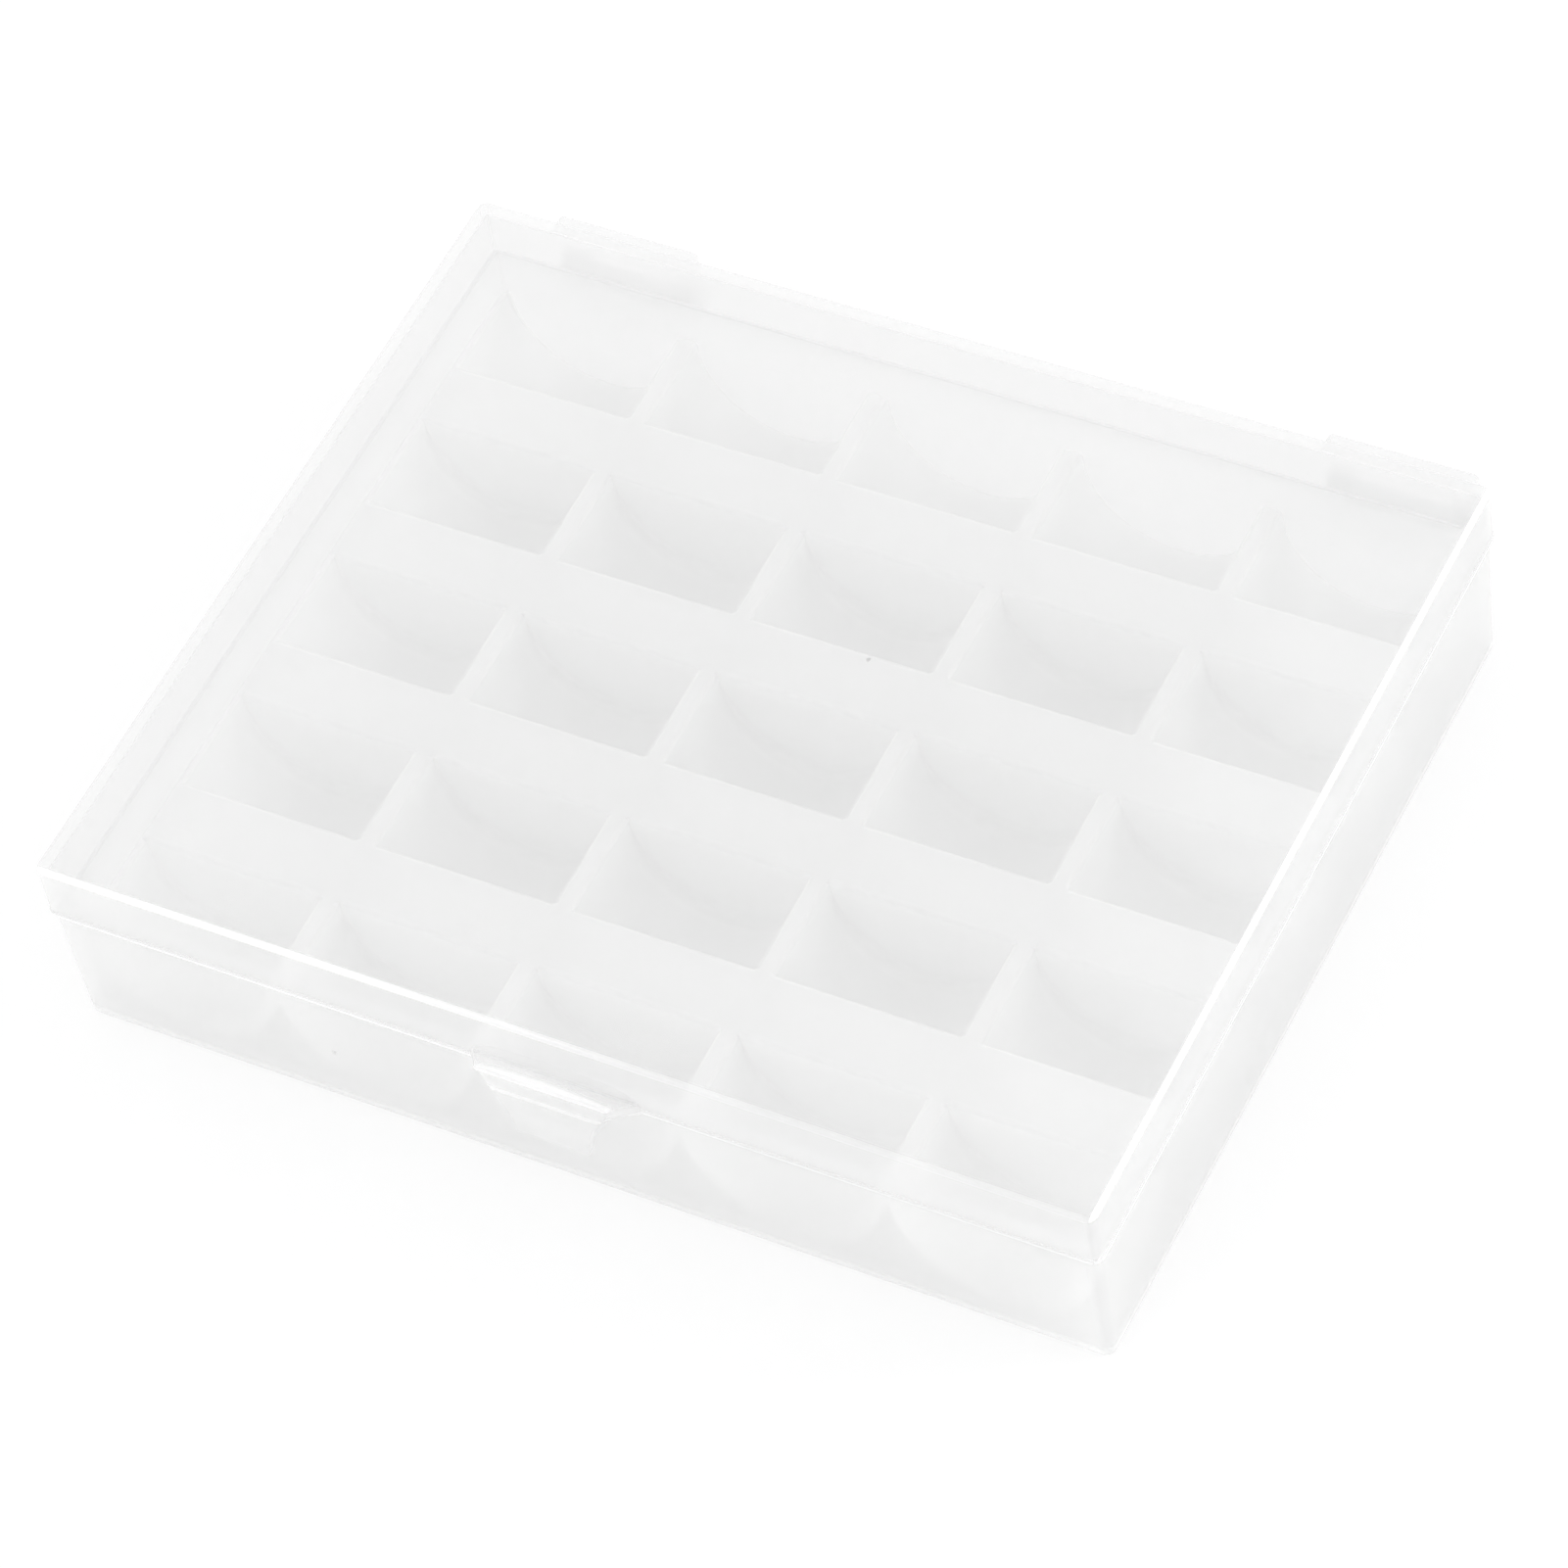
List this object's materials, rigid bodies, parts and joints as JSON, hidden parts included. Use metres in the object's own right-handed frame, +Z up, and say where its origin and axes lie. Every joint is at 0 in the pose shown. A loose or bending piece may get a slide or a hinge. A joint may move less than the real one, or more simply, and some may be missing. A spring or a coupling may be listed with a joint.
{
  "type": "bobbin box",
  "caption": "Flat clear hinged box with a snap latch and a lift-out insert of half-round slots that hold sewing-machine bobbins on their rims.",
  "frame": {"origin": "centre of the case's footprint, on the surface that the case stands on", "axes": "+X along the case's long side, to the right as seen from the latch; +Y from the latch at the front to the hinges at the back; +Z up"},
  "size_m": [0.12, 0.1053, 0.0254],
  "materials": {
    "clear_base": "clear moulded plastic, slightly hazy, polished",
    "clear_lid": "clear moulded plastic, polished",
    "frosted_insert": "translucent frosted plastic",
    "clear_pin": "clear plastic rod"
  },
  "bodies": {
    "base": {"case_base": "clear_base", "hinge_pin_left": "clear_pin", "hinge_pin_right": "clear_pin"},
    "lid": {"case_lid": "clear_lid"},
    "insert": {"bobbin_insert": "frosted_insert"}
  },
  "joints": [
    {"name": "lid_hinge", "type": "hinge", "parent": "base", "child": "lid", "pos_m": [0, 0.0513, 0.0162], "axis": [-1, 0, 0], "range_deg": [0, 180]},
    {"name": "insert_lift", "type": "slide", "parent": "base", "child": "insert", "axis": [0, 0, 1], "range_m": [0, 0.01]}
  ]
}
